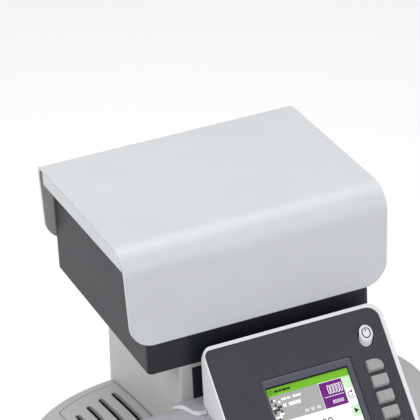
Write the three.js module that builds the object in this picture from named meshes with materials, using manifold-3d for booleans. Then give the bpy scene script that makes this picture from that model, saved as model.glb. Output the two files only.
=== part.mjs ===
// Desktop franking machine with a built-in letter scale and a sloped control panel.
// Millimetres. +X is right, +Y is the back, +Z is up. The origin is the middle of the footprint,
// on the surface that the feet stand on. Letters travel along +X through the slot at the front.
import * as THREE from "three";
import { mergeVertices } from "three/addons/utils/BufferGeometryUtils.js";
import Module from "manifold-3d";

const wasm = await Module();
wasm.setup();

// ---- driving dimensions ----
const GAP = 0.3; // between touching pieces
const WALL = 2.5; // moulded shells

const PLATTER = {
  left: -93, right: 113, front: -25, back: 138.5, top: 330, sheet: 2.5,
  frontDrop: 75, backDrop: 65.5, bend: 19.5, backBend: 8, corner: 17.5, lean: 0.04, lipDrop: 12, lipBack: 127,
};
const SCALE = {
  frontHalf: 87.5, backHalf: 94.5, middle: 10, front: -21, back: 134.6, top: 321.7,
  frontBottom: 228.8, backBottom: 244, corner: 3.5,
};
const COLUMN = { half: 66.5, front: -21, back: 118, corner: 2.5, foot: 143, core: 54.3 };
const BODY = { leftCentre: -41, rightCentre: 24.5, middle: -5, radius: 119, back: 119, bottom: 80.3 };
const CROWN = { top: 161.7, apex: -31, radius: 700 };
const HATCH = { right: -57.2, left: -113, front: -8, seamRadius: 110, corner: 8, seam: 0.6 };
const LOUVRE = { count: 4, right: -63.9, pitch: 12.4, wide: 4.6, throat: 3.7, front: 2, thick: 2.4 };
const FRONT = { top: 196, rear: -20, brow: -62, foot: -118, low: 134, bottom: 96, split: -45, right: 104 };
const LEDGE = { top: 200, right: 98 };
const BASE = { left: -185, right: 185, front: -138.5, back: 138.5, corner: 62, split: 24, top: 80 };
const SLOT = { top: 92, guide: -26 }; // the letter path, from the deck up and from the guide forward
const PANEL = {
  tilt: THREE.MathUtils.degToRad(47.9), u: 10, y: -35, z: 244.3,
  left: -52, right: 88.7, top: 3.5, bottom: -140, back: -33.5,
  rim: 3, leftRim: 1.2, corner: 8, bigCorner: 12.5,
};
const SCREEN = { left: -15, right: 50, top: -36.4, bottom: -85.2, depth: 2 };
const SOFT = { count: 5, left: 64, top: -37.1, wide: 11.9, high: 7.1, pitch: 11.95 };
const PAD = {
  left: -13.5, top: -95.5, wide: 17.5, high: 7.6, pitchX: 22, pitchY: 10.6, rows: 4, columns: 3,
};
const KEY_ROOM = 0.35; // between a key and the edge of its hole
const KEY_DRAFT = 0.4;
const KEY_SKIRT = 2;
const KEY_PROUD = 2.5;
const ROLLER = { in: -115, out: 45, radius: 14, proud: 0.8, front: -78, back: -48, axle: 3 };
const PRESS_RADIUS = 9;
const PULLEY = { radius: 8, front: -14.5, back: -6.5 };
const MOTOR = { x: -35, z: 34, radius: 18, pulley: 6 };
// The opening over the letter path that the steel deck plate fills.
const WINDOW = { left: -134, right: 94, front: -124, back: -30, corner: 6 };
const FOOT = { x: 140, y: 100, radius: 9, spread: 10, high: 6 };
// The four posts that carry the platter through the scale's lid.
const POST = { x: 50, front: 30, back: 90, radius: 4.5, room: 6, top: 327.2 };
const FAN = { x: -88, y: 45, half: 25, low: 118, high: 133, bore: 23, hub: 9, blades: 7 };
const CARTRIDGE = { left: -92, right: -58, front: -76, back: -42, top: 150 };

// ---- materials ----
const finish = (color, roughness, metalness = 0) =>
  new THREE.MeshStandardMaterial({ color, roughness, metalness });
const material = {
  silver: () => finish(0xc9ccce, 0.38, 0.7),
  light: () => finish(0xb9bab8, 0.6),
  bluish: () => finish(0xa5a5b0, 0.6),
  dark: () => finish(0x2f333a, 0.55),
  fascia: () => finish(0x45444c, 0.5),
  white: () => finish(0xe8e8ea, 0.4),
  key: () => finish(0x9c9a9b, 0.55),
  rubber: () => finish(0x1d1d1f, 0.9),
  steel: () => finish(0xa8abad, 0.35, 1),
  board: () => finish(0x1e5a38, 0.5),
  glass: () => finish(0x9fb4a8, 0.1),
  black: () => finish(0x18191b, 0.5),
};

// ---- geometry helpers ----
function solid(geometry) {
  const bare = geometry.clone();
  bare.deleteAttribute("normal");
  bare.deleteAttribute("uv");
  const merged = mergeVertices(bare, 1e-4);
  return new wasm.Manifold(
    new wasm.Mesh({
      numProp: 3,
      vertProperties: Float32Array.from(merged.attributes.position.array),
      triVerts: Uint32Array.from(merged.index.array),
    }),
  );
}

function surface(body) {
  const { vertProperties, triVerts } = body.getMesh();
  const geometry = new THREE.BufferGeometry();
  geometry.setAttribute("position", new THREE.BufferAttribute(vertProperties, 3));
  geometry.setIndex(new THREE.BufferAttribute(triVerts, 1));
  geometry.computeVertexNormals();
  return geometry;
}

const cut = (body, ...tools) => tools.reduce((rest, tool) => rest.subtract(tool), body);
const join = (body, ...others) => others.reduce((whole, other) => whole.add(other), body);

function box(x0, x1, y0, y1, z0, z1) {
  const geometry = new THREE.BoxGeometry(x1 - x0, y1 - y0, z1 - z0);
  geometry.translate((x0 + x1) / 2, (y0 + y1) / 2, (z0 + z1) / 2);
  return solid(geometry);
}

// A flat outline in X and Y, raised from z0 to z1.
function prism(shape, z0, z1, curveSegments = 8) {
  const geometry = new THREE.ExtrudeGeometry(shape, {
    depth: z1 - z0, bevelEnabled: false, curveSegments,
  });
  geometry.translate(0, 0, z0);
  return solid(geometry);
}

// An outline in Y and Z, drawn out along X from x0 to x1.
const sideways = new THREE.Matrix4().makeBasis(
  new THREE.Vector3(0, 1, 0), new THREE.Vector3(0, 0, 1), new THREE.Vector3(1, 0, 0),
);
function section(shape, x0, x1, curveSegments = 8) {
  const geometry = new THREE.ExtrudeGeometry(shape, {
    depth: x1 - x0, bevelEnabled: false, curveSegments,
  });
  geometry.applyMatrix4(sideways).translate(x0, 0, 0);
  return solid(geometry);
}

// A round bar along Y (the way rollers lie) or along Z.
function barY(x, z, radius, y0, y1, sides = 24) {
  const geometry = new THREE.CylinderGeometry(radius, radius, y1 - y0, sides);
  geometry.translate(x, (y0 + y1) / 2, z);
  return solid(geometry);
}
function barZ(x, y, radius, z0, z1, sides = 24, topRadius = radius) {
  const geometry = new THREE.CylinderGeometry(topRadius, radius, z1 - z0, sides);
  geometry.rotateX(Math.PI / 2).translate(x, y, (z0 + z1) / 2);
  return solid(geometry);
}

function polygon(points) {
  return new THREE.Shape(points.map(([a, b]) => new THREE.Vector2(a, b)));
}

// A rectangle whose corners are arcs; radii run from lower left, anticlockwise.
function rounded(x0, x1, y0, y1, radii) {
  const [ll, lr, ur, ul] = Array.isArray(radii) ? radii : [radii, radii, radii, radii];
  const shape = new THREE.Shape();
  shape.moveTo(x0 + ll, y0);
  shape.lineTo(x1 - lr, y0);
  shape.absarc(x1 - lr, y0 + lr, lr, -Math.PI / 2, 0);
  shape.lineTo(x1, y1 - ur);
  shape.absarc(x1 - ur, y1 - ur, ur, 0, Math.PI / 2);
  shape.lineTo(x0 + ul, y1);
  shape.absarc(x0 + ul, y1 - ul, ul, Math.PI / 2, Math.PI);
  shape.lineTo(x0, y0 + ll);
  shape.absarc(x0 + ll, y0 + ll, ll, Math.PI, Math.PI * 1.5);
  return shape;
}

// A closed skin through outlines that have the same number of points, with a cap at each end.
function loft(rings) {
  const count = rings[0].length;
  const positions = rings.flat().flatMap((p) => [p.x, p.y, p.z]);
  const index = [];
  for (let level = 0; level + 1 < rings.length; level++)
    for (let i = 0; i < count; i++) {
      const a = level * count + i;
      const b = level * count + ((i + 1) % count);
      index.push(a, b, b + count, a, b + count, a + count);
    }
  const flat = rings[0].map((p) => new THREE.Vector2(p.x, p.y));
  const last = (rings.length - 1) * count;
  for (const [a, b, c] of THREE.ShapeUtils.triangulateShape(flat, [])) {
    index.push(c, b, a);
    index.push(last + a, last + b, last + c);
  }
  const geometry = new THREE.BufferGeometry();
  geometry.setAttribute("position", new THREE.Float32BufferAttribute(positions, 3));
  geometry.setIndex(index);
  return solid(geometry);
}

// A rounded rectangle as a ring of points at height z, or at a height that depends on the point.
function ring(x0, x1, y0, y1, radius, z, steps = 5) {
  const points = [];
  const corners = [
    [x1 - radius, y0 + radius, -Math.PI / 2], [x1 - radius, y1 - radius, 0],
    [x0 + radius, y1 - radius, Math.PI / 2], [x0 + radius, y0 + radius, Math.PI],
  ];
  for (const [cx, cy, from] of corners)
    for (let i = 0; i <= steps; i++) {
      const angle = from + (Math.PI / 2) * (i / steps);
      points.push(new THREE.Vector3(cx + radius * Math.cos(angle), cy + radius * Math.sin(angle), z));
    }
  return points;
}

// The outline that a belt takes round its pulleys, at a distance from their surface.
function beltOutline(wheels, distance, sides = 40) {
  const cloud = [];
  for (const [x, z, radius] of wheels)
    for (let i = 0; i < sides; i++) {
      const angle = (2 * Math.PI * i) / sides;
      const reach = radius + distance;
      cloud.push([x + reach * Math.cos(angle), z + reach * Math.sin(angle)]);
    }
  cloud.sort((a, b) => a[0] - b[0] || a[1] - b[1]);
  const turn = (o, a, b) => (a[0] - o[0]) * (b[1] - o[1]) - (a[1] - o[1]) * (b[0] - o[0]);
  const half = (points) => {
    const chain = [];
    for (const p of points) {
      while (chain.length > 1 && turn(chain.at(-2), chain.at(-1), p) <= 0) chain.pop();
      chain.push(p);
    }
    return chain.slice(0, -1);
  };
  return polygon([...half(cloud), ...half([...cloud].reverse())]);
}

// ---- the assembly ----
const machine = new THREE.Group();
function add(name, body, kind, parent = machine) {
  const mesh = new THREE.Mesh(surface(body), material[kind]());
  mesh.name = name;
  parent.add(mesh);
}

// ---- shared outlines ----
// The body's plan: two half circles joined by straight front and back walls, and behind them
// a flat back as wide as the scale's column. It is pulled in by inset.
function bodyBlock(inset, z0, z1) {
  const radius = BODY.radius - inset;
  const wings = new THREE.Shape();
  wings.absarc(BODY.leftCentre, BODY.middle, radius, Math.PI / 2, Math.PI * 1.5);
  wings.absarc(BODY.rightCentre, BODY.middle, radius, -Math.PI / 2, Math.PI / 2);
  const side = COLUMN.half + 1.5 - inset;
  const spine = rounded(SCALE.middle - side, SCALE.middle + side, 0, BODY.back - inset, COLUMN.corner);
  const underColumn = cut(prism(spine, z0, z1), columnPlan(2, COLUMN.foot - 1, 300));
  return join(prism(wings, z0, z1, 24), underColumn);
}

// The side profile of everything under the crowned top, lowered by drop.
function crownProfile(drop, bottom) {
  const far = BODY.radius + 20;
  const points = [[-far, bottom], [far, bottom]];
  const steps = 14;
  for (let i = steps; i >= 0; i--) {
    const y = -far + (2 * far * i) / steps;
    points.push([y, crownHeight(y) - drop]);
  }
  return polygon(points);
}

// The side profile of the raised front unit, with its sloped brow, pulled in by inset.
function frontProfile(inset, bottom) {
  const slope = (FRONT.top - FRONT.low) / (FRONT.brow - FRONT.foot);
  const shift = inset * (Math.hypot(1, slope) - 1) / slope;
  const shape = new THREE.Shape();
  const edge = 5;
  shape.moveTo(-BODY.radius - 20, bottom);
  shape.lineTo(FRONT.rear - inset, bottom);
  shape.lineTo(FRONT.rear - inset, FRONT.top - inset - edge);
  shape.absarc(FRONT.rear - inset - edge, FRONT.top - inset - edge, edge, 0, Math.PI / 2);
  shape.lineTo(FRONT.brow + shift, FRONT.top - inset);
  const low = -BODY.radius - 20;
  shape.lineTo(low, FRONT.top - inset + slope * (low - FRONT.brow - shift));
  return shape;
}

// ---- base ----
function makeBase() {
  const inset = 4;
  const tray = (d) => rounded(
    BASE.left + d, BASE.right - d, BASE.front + d, BASE.back - d, BASE.corner - d,
  );
  add("base_pan", cut(
    prism(tray(inset), FOOT.high, BASE.split - GAP),
    prism(tray(inset + WALL), FOOT.high + WALL, BASE.split + 1),
  ), "dark");

  const window = (inset) => rounded(
    WINDOW.left + inset, WINDOW.right - inset, WINDOW.front + inset, WINDOW.back - inset,
    WINDOW.corner - inset,
  );
  const wiring = box(-60, 60, 20, 90, BASE.top - 10, BASE.top + 10);
  const guide = box(-150, 118, SLOT.guide, SLOT.guide + 3, BASE.top - 1, SLOT.top - GAP);
  add("lower_cover", join(cut(
    prism(tray(0), BASE.split, BASE.top),
    prism(tray(WALL), BASE.split - 1, BASE.top - WALL),
    prism(window(0), BASE.top - 10, BASE.top + 10),
    wiring,
  ), guide), "light");

  const rollerSlot = (x) =>
    box(x - 9, x + 9, ROLLER.front - 2, ROLLER.back + 2, BASE.top - 10, BASE.top + 10);
  add("transport_plate", cut(
    prism(window(GAP), BASE.top - 2, BASE.top),
    rollerSlot(ROLLER.in), rollerSlot(ROLLER.out),
  ), "steel");

  for (const [depth, y] of [["front", -FOOT.y], ["back", FOOT.y]])
    for (const [side, x] of [["left", -FOOT.x], ["right", FOOT.x]])
      add(`foot_${depth}_${side}`, barZ(x, y, FOOT.radius, 0, FOOT.high - GAP, 24, FOOT.spread), "rubber");
}

// ---- main body with its rounded wings ----
function makeBody() {
  const outer = bodyBlock(0, BODY.bottom, 200).intersect(
    section(crownProfile(0, BODY.bottom), -170, 170));
  const inner = bodyBlock(WALL, BODY.bottom - 1, 200).intersect(
    section(crownProfile(WALL, BODY.bottom - 1), -170, 170));
  const frontRoom = box(-200, FRONT.right + GAP, -200, FRONT.rear + GAP, 0, 300);
  const columnRoom = columnPlan(1, COLUMN.foot - 1, 200);
  // A wall behind the raised front unit, on both sides of the column.
  const riserFront = FRONT.rear + GAP;
  const beside = COLUMN.half + 1;
  const riser = bodyBlock(0, 150, FRONT.top - 4).intersect(join(
    box(-200, SCALE.middle - beside, riserFront, riserFront + WALL, 150, 200),
    box(SCALE.middle + beside, FRONT.right + GAP, riserFront, riserFront + WALL, 150, 200),
  ));
  const slotRoom = box(60, 200, -200, SLOT.guide - GAP, 0, SLOT.top);
  add("body_cover", join(cut(
    outer, inner, frontRoom, columnRoom, slotRoom, hatchRoom(HATCH.seam), ...rearWallHoles(),
  ), riser), "light");
}

// The room that the column takes, grown by a clearance.
const columnPlan = (room, z0, z1) => prism(
  rounded(SCALE.middle - COLUMN.half - room, SCALE.middle + COLUMN.half + room,
    COLUMN.front - room, COLUMN.back + room, COLUMN.corner), z0, z1);

function hatchPlan(grow) {
  const { leftCentre: cx, middle: cy } = BODY;
  const radius = HATCH.seamRadius + grow;
  const right = HATCH.right + grow;
  const left = HATCH.left - grow;
  const front = HATCH.front - grow;
  const corner = HATCH.corner;
  // The corner arc's centre lies inside the seam circle and right of the left edge.
  const dx = left + corner - cx;
  const reach = radius - corner;
  const cornerY = cy + Math.sqrt(reach * reach - dx * dx);
  const turnTo = Math.atan2(cornerY - cy, dx);
  const shape = new THREE.Shape();
  shape.moveTo(left, front);
  shape.lineTo(right, front);
  shape.lineTo(right, cy + Math.sqrt(radius * radius - (right - cx) ** 2));
  shape.absarc(cx, cy, radius, Math.acos((right - cx) / radius), turnTo);
  shape.absarc(left + corner, cornerY, corner, turnTo, Math.PI);
  return shape;
}

const hatchRoom = (grow) => prism(hatchPlan(grow), 100, 200, 10);

const crownHeight = (y) => CROWN.top - (y - CROWN.apex) ** 2 / (2 * CROWN.radius);

// The room of one vent slot, which follows the crown: upright on its left, sloped on its right,
// and drawn in a little at both ends.
function louvre(right, front, back) {
  const { thick } = LOUVRE;
  const steps = 12;
  const taper = 2.5;
  const stations = [front, front + taper];
  for (let i = 1; i < steps; i++)
    stations.push(front + taper + ((back - front - 2 * taper) * i) / steps);
  stations.push(back - taper, back);
  const rings = stations.map((y) => {
    const narrow = y === front || y === back ? 1.3 : 0;
    const left = right - LOUVRE.wide + narrow;
    const throat = right - LOUVRE.wide + LOUVRE.throat - narrow / 2;
    const top = crownHeight(y) + 1;
    const slope = (LOUVRE.wide - LOUVRE.throat) / thick;
    // Heights run up the ring's y and the slot runs down its z, until the whole is turned upright.
    return [
      [left, top - 1 - 3 * thick], [throat, top - 1 - 3 * thick], [throat, top - 1 - thick],
      [right - narrow + slope, top], [left, top],
    ].map(([x, height]) => new THREE.Vector3(x, height, -y));
  }).reverse();
  return loft(rings).rotate([90, 0, 0]);
}

function makeHatch() {
  const { thick } = LOUVRE;
  const skin = prism(hatchPlan(0), 100, 200, 10).intersect(
    cut(section(crownProfile(0, 90), -170, 170), section(crownProfile(thick, 80), -171, 171)));
  const slots = [];
  for (let i = 0; i < LOUVRE.count; i++) {
    const right = LOUVRE.right - LOUVRE.pitch * i;
    const reach = HATCH.seamRadius - 14;
    const end = BODY.middle + Math.sqrt(reach * reach - (right - LOUVRE.wide - BODY.leftCentre) ** 2);
    slots.push(louvre(right, LOUVRE.front, end));
  }
  add("vent_hatch", cut(skin, ...slots), "light");
}

// The holes in the back wall for the mains inlet, the switch and the data sockets.
const INLET = { x: -22, z: 108, wide: 27, high: 20 };
const SWITCH = { x: -3, z: 108, wide: 15, high: 20 };
const backWall = BODY.back;
const wallHole = ({ x, z, wide, high }, room = GAP) =>
  box(x - wide / 2 - room, x + wide / 2 + room, backWall - 12, backWall + 8,
    z - high / 2 - room, z + high / 2 + room);
const rearWallHoles = () => [wallHole(INLET), wallHole(SWITCH)];

function makeRearFittings() {
  const face = (p, depth, out = 0) =>
    box(p.x - p.wide / 2, p.x + p.wide / 2, backWall - depth, backWall + out,
      p.z - p.high / 2, p.z + p.high / 2);
  const pocket = box(INLET.x - 11, INLET.x + 11, backWall - 11, backWall + 3, INLET.z - 7, INLET.z + 7);
  const pins = [-6, 0, 6].map((dx) =>
    box(INLET.x + dx - 1, INLET.x + dx + 1, backWall - 12, backWall - 2,
      INLET.z - 2 + (dx ? 0 : 3), INLET.z + 2 + (dx ? 0 : 3)));
  const rockerRoom = box(
    SWITCH.x - 5, SWITCH.x + 5, backWall - 7, backWall + 2, SWITCH.z - 8, SWITCH.z + 8);
  const frames = join(face(INLET, 16), face(SWITCH, 10));
  add("power_inlet", join(cut(frames, pocket, rockerRoom), ...pins), "black");

  const rocker = new THREE.Shape();
  rocker.moveTo(-1.2, -7);
  rocker.lineTo(1.6, -7);
  rocker.quadraticCurveTo(0.2, 0, 1.6, 7);
  rocker.lineTo(-1.2, 7);
  rocker.lineTo(-4, 0);
  // It rests switched off, with its lower end pressed in.
  const rockerBody = section(rocker, SWITCH.x - 4.4, SWITCH.x + 4.4, 4)
    .rotate([-8, 0, 0]).translate([0, backWall - 1, SWITCH.z]);
  add("mains_switch", rockerBody, "black");
}

// ---- raised front unit: a hinged hood on the left, the console on the right ----
function makeFrontUnit() {
  const shell = (inset, bottom) => bodyBlock(2 + inset, bottom, 220).intersect(
    section(frontProfile(inset, bottom), -170, 170, 5));
  const columnRoom = columnPlan(0.9, FRONT.bottom - 5, 220);
  const skin = cut(shell(0, FRONT.bottom), shell(WALL, FRONT.bottom - 1), columnRoom);
  // The hood's back edge is a short lip, so that it can swing inside its own outline.
  const belowLip = box(-150, 0, FRONT.rear - 6, 0, 0, FRONT.top - 11);
  add("front_hood", cut(
    skin.intersect(box(-200, FRONT.split - GAP / 2, -200, 0, 0, 300)), belowLip,
  ), "bluish");

  const consoleSpan = box(FRONT.split + GAP / 2, FRONT.right, -200, 0, 0, 300);
  const keyRoom = box(PANEL.u + PANEL.left + 12, PANEL.u + PANEL.right - 12, -104, -50, 120, 300);
  const endWall = shell(0, FRONT.bottom).intersect(
    box(FRONT.right - WALL, FRONT.right, -200, 0, 0, 300));
  add("console_cover", cut(join(skin.intersect(consoleSpan), endWall), keyRoom), "bluish");
}

// ---- scale column, the dark core in its front and the ledge at its foot ----
function makeColumn() {
  const { half, front, back, corner, foot, core } = COLUMN;
  const mid = SCALE.middle;
  const flare = 2.4;
  const top = scaleBottom(front) - GAP;
  const ringAt = (inset, z) => {
    const spread = flare * Math.max(0, (top - z) / (top - foot)) - inset;
    return ring(mid - half + flare - spread, mid + half - flare + spread,
      front + inset, back + spread - flare, corner, z);
  };
  // The top of the wall follows the scale's underside, which rises towards the back.
  const underScale = (points, drop) =>
    points.map((p) => new THREE.Vector3(p.x, p.y, scaleBottom(p.y) - GAP - drop));
  const outer = loft([ringAt(0, foot), underScale(ringAt(0, top), 0)]);
  const inner = loft([ringAt(WALL, foot - 1), underScale(ringAt(WALL, top), WALL)]);
  const coreRoom = box(mid - core, mid + core, front - 5, front + 3 + GAP, foot - 5, top - 3);
  const cable = barZ(mid, 50, 9, top - 5, top + 25);
  add("scale_column", cut(outer, inner, coreRoom, cable), "light");
  const coreHalf = core - GAP;
  add("column_core", box(mid - coreHalf, mid + coreHalf, front, front + 3, foot, top - 3 - GAP), "dark");
}

function makeLedge() {
  const rear = COLUMN.front - GAP;
  const behindPanel = PANEL.back + 0.8;
  const side = SCALE.middle - COLUMN.half;
  const shape = new THREE.Shape();
  shape.moveTo(side - 5.5, rear);
  // An S-shaped edge runs from a thin tip beside the column to a blunt end beside the panel.
  shape.bezierCurveTo(side - 2, rear - 0.6, side + 1, rear - 3.2, side + 2.3, rear - 7);
  shape.bezierCurveTo(side + 4, rear - 12, side + 3.5, rear - 17.6, side + 11.6, rear - 18.6);
  shape.lineTo(side + 14.3, rear - 18.3);
  shape.lineTo(side + 14.3, behindPanel);
  shape.lineTo(LEDGE.right, behindPanel);
  shape.lineTo(LEDGE.right, rear);
  const plate = prism(shape, FRONT.top + GAP, LEDGE.top, 8);
  // The tip beside the column runs down to nothing.
  const ramp = prism(
    polygon([[side - 7, FRONT.top + 1], [side + 1.5, LEDGE.top + 0.1], [side - 7, LEDGE.top + 5]]),
    -rear - 1, -rear + 12,
  ).rotate([90, 0, 0]);
  add("ledge_plate", cut(plate, ramp), "light");
}

// ---- scale ----
// The height of the scale's underside, which rises towards the back.
function scaleBottom(y) {
  const rise = (SCALE.backBottom - SCALE.frontBottom) / (SCALE.back - SCALE.front);
  return SCALE.frontBottom + (y - SCALE.front) * rise;
}

function makeScale() {
  const s = SCALE;
  const profile = (inset, top) => {
    const shape = new THREE.Shape();
    const r = 10 - inset;
    shape.moveTo(s.front + inset, scaleBottom(s.front + inset) + inset);
    shape.lineTo(s.back - inset, scaleBottom(s.back - inset) + inset);
    shape.lineTo(s.back - inset, top);
    shape.lineTo(s.front + inset + r, top);
    shape.absarc(s.front + inset + r, top - r, r, Math.PI / 2, Math.PI);
    return shape;
  };
  const taper = (inset) => {
    const front = ring(s.middle - s.frontHalf + inset, s.middle + s.frontHalf - inset,
      s.front + inset, s.back - inset, s.corner - inset, 0);
    const spread = (p) => {
      const along = (p.y - s.front) / (s.back - s.front);
      const wide = 1 + (along * (s.backHalf - s.frontHalf)) / s.frontHalf;
      return new THREE.Vector2(s.middle + (p.x - s.middle) * wide, p.y);
    };
    return new THREE.Shape(front.map(spread));
  };
  const outer = section(profile(0, s.top), -100, 120, 6).intersect(prism(taper(0), 200, 330));
  const room = section(profile(WALL, s.top + 5), -100, 120, 6).intersect(prism(taper(WALL), 200, 340));
  add("scale_housing", cut(outer, room), "dark");

  const lid = prism(taper(WALL + GAP), s.top - 3, s.top);
  const clearOfBend = box(-100, 120, s.front - 5, s.front + 10, 300, 340);
  const posts = (radius, low, high) => [-POST.x, POST.x].flatMap((dx) =>
    [POST.front, POST.back].map((y) => barZ(s.middle + dx, y, radius, low, high, 16)));
  add("scale_lid", cut(lid, clearOfBend, ...posts(POST.room, 300, 340)), "dark");

  const floor = scaleBottom(60) + WALL;
  const beam = { back: 100, low: floor + 12, high: floor + 36 };
  add("load_cell", cut(
    join(
      box(s.middle - 15, s.middle + 15, 20, beam.back, beam.low, beam.high),
      box(s.middle - 15, s.middle + 15, 80, beam.back, scaleBottom(beam.back) + WALL + GAP, beam.low + 1),
    ),
    box(s.middle - 20, s.middle + 20, 45, 75, beam.low + 6, beam.high - 6),
  ), "steel");

  const plateLow = beam.high + GAP;
  const margin = 10;
  add("platter_carrier", join(
    box(s.middle - POST.x - margin, s.middle + POST.x + margin,
      POST.front - margin, POST.back + margin, plateLow, plateLow + 4),
    ...posts(POST.radius, plateLow, POST.top),
  ), "steel");
}

function makePlatter() {
  const p = PLATTER;
  const skin = (inset) => {
    const front = p.front + inset;
    const back = p.back - inset;
    const top = p.top - inset;
    const r = p.bend - inset;
    const q = p.backBend - inset;
    const shape = new THREE.Shape();
    shape.moveTo(front, 200);
    shape.lineTo(back, 200);
    shape.lineTo(back, top - q);
    shape.absarc(back - q, top - q, q, 0, Math.PI / 2);
    shape.lineTo(front + r, top);
    shape.absarc(front + r, top - r, r, Math.PI / 2, Math.PI);
    return shape;
  };
  const sheet = cut(
    section(skin(0), p.left, p.right, 10), section(skin(p.sheet), p.left - 1, p.right + 1, 10));
  const centre = (p.left + p.right) / 2;
  const narrow = (q) => {
    const inward = Math.max(0, p.top - q.y) * p.lean;
    return new THREE.Vector2(q.x - Math.sign(q.x - centre) * inward, q.y);
  };
  const flap = (y0, y1, drop) => {
    const straight = rounded(p.left, p.right, p.top - drop, p.top + 10, [p.corner, p.corner, 1, 1]);
    const geometry = new THREE.ExtrudeGeometry(
      new THREE.Shape(straight.getPoints(8).map(narrow)),
      { depth: y1 - y0, bevelEnabled: false });
    geometry.rotateX(Math.PI / 2).translate(0, y1, 0);
    return solid(geometry);
  };
  const middle = (p.front + p.back) / 2;
  const shared = 0.01; // the two halves meet in the middle by a hair, so that they join
  const outline = join(
    flap(p.front - 5, middle + shared, p.frontDrop), flap(middle - shared, p.back + 5, p.backDrop));
  const lip = (x0) => section(skin(p.sheet / 2), x0, x0 + p.sheet, 10).intersect(
    box(x0 - 1, x0 + p.sheet + 1, p.front, p.lipBack, p.top - p.lipDrop, p.top));
  add("platter", join(sheet.intersect(outline), lip(p.left), lip(p.right - p.sheet)), "silver");
}

// ---- letter transport and print unit ----
function makeTransport() {
  const axisZ = BASE.top + ROLLER.proud - ROLLER.radius;
  const upperZ = BASE.top + ROLLER.proud + 0.4 + PRESS_RADIUS;
  const walls = { front: [-112, -110.5], back: [-19.5, -18] };
  const bore = ROLLER.axle + 0.4;

  const frame = new THREE.Shape();
  frame.moveTo(walls.front[0], 9);
  frame.lineTo(walls.back[1], 9);
  frame.lineTo(walls.back[1], 74);
  frame.lineTo(walls.back[0], 74);
  frame.lineTo(walls.back[0], 10.5);
  frame.lineTo(walls.front[1], 10.5);
  frame.lineTo(walls.front[1], 74);
  frame.lineTo(walls.front[0], 74);
  add("chassis", cut(
    section(frame, -132, 70).translate([0, 0, GAP]),
    barY(ROLLER.in, axisZ, bore, -120, -10, 16),
    barY(ROLLER.out, axisZ, bore, -120, -10, 16),
    barY(MOTOR.x, MOTOR.z, 6, -30, -10, 16),
  ), "steel");

  for (const side of ["in", "out"]) {
    const x = ROLLER[side];
    add("feed_shaft_" + side, join(
      barY(x, axisZ, ROLLER.axle, -114, -4, 16),
      barY(x, axisZ, PULLEY.radius, PULLEY.front, PULLEY.back, 24),
    ), "steel");
    add("feed_tyre_" + side, cut(
      barY(x, axisZ, ROLLER.radius, ROLLER.front, ROLLER.back, 32),
      barY(x, axisZ, ROLLER.axle + 0.1, ROLLER.front - 1, ROLLER.back + 1, 16),
    ), "rubber");
    add("pressure_roller_" + side, join(
      barY(x, upperZ, PRESS_RADIUS, ROLLER.front + 4, ROLLER.back - 4, 24),
      barY(x, upperZ, 2, ROLLER.front - 3, ROLLER.back + 3, 12),
    ), "rubber");
  }

  add("drive_motor", join(
    barY(MOTOR.x, MOTOR.z, MOTOR.radius, -70, -19.5 - GAP, 28),
    barY(MOTOR.x, MOTOR.z, 5.2, -20, -17, 16),
  ), "steel");
  add("motor_pulley", barY(MOTOR.x, MOTOR.z, MOTOR.pulley, -16, PULLEY.back, 20), "white");

  const wheels = [
    [ROLLER.in, axisZ, PULLEY.radius], [ROLLER.out, axisZ, PULLEY.radius],
    [MOTOR.x, MOTOR.z, MOTOR.pulley],
  ];
  const band = (distance, y0, y1) => {
    const geometry = new THREE.ExtrudeGeometry(beltOutline(wheels, distance), {
      depth: y1 - y0, bevelEnabled: false,
    });
    geometry.rotateX(Math.PI / 2).translate(0, y1, 0);
    return solid(geometry);
  };
  add("drive_belt", cut(band(1.8, -13.5, -7.5), band(GAP, -14, -7)), "rubber");

  makePrintUnit(upperZ);
}

function makePrintUnit(upperZ) {
  const shelf = [110, 112];
  const cheek = (x, y) => cut(
    box(x - 7, x + 7, y, y + 1.5, upperZ - 4, shelf[1]),
    barY(x, upperZ, 2.4, y - 1, y + 3, 12),
  );
  const c = CARTRIDGE;
  add("print_frame", cut(
    join(
      box(-122, 92, -82, -27, shelf[0], shelf[1]),
      box(-122, 92, -28.5, -27, shelf[0], 128),
      ...[ROLLER.in, ROLLER.out].flatMap((x) => [cheek(x, ROLLER.front), cheek(x, ROLLER.back - 1.5)]),
    ),
    box(c.left, c.right, c.front, c.back, 100, 120),
  ), "steel");

  add("print_head", join(
    box(c.left - 3, c.right + 3, c.front - 3, c.back + 3, 98, shelf[0] - GAP),
    box(-84, -66, c.front + 6, c.back - 6, 86.3, 99),
  ), "black");
  add("ink_cartridge", join(
    box(c.left + 1, c.right - 1, c.front + 1, c.back - 1, shelf[0], c.top),
    box(-80, -70, c.front + 6, c.back - 6, c.top - 1, c.top + 6),
  ), "black");
}

// ---- electronics ----
function makeElectronics() {
  add("main_board", box(-30, 40, 10, 90, 98, 99.6), "board");
  add("power_supply", box(50, 105, 5, 60, BODY.bottom + 10, 132), "steel");
  const { x, y, half, low, high, bore, hub } = FAN;
  const vents = [[-15, 0], [15, 0], [0, -15], [0, 15]].map(([dx, dy]) =>
    barZ(x + dx, y + dy, 4, low - 1, high, 12));
  add("fan_frame", cut(
    box(x - half, x + half, y - half, y + half, low, high),
    barZ(x, y, bore, low + 2, high + 1, 32),
    ...vents,
  ), "black");
  const blades = [];
  for (let i = 0; i < FAN.blades; i++) {
    const blade = new THREE.BoxGeometry(14, 1.6, 8);
    blade.rotateX(0.6).translate(14, 0, 0).rotateZ((2 * Math.PI * i) / FAN.blades);
    blade.translate(x, y, low + 8);
    blades.push(solid(blade));
  }
  add("fan_rotor", join(barZ(x, y, hub, low + 2.5, high - 1, 24), ...blades), "black");
}

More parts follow.
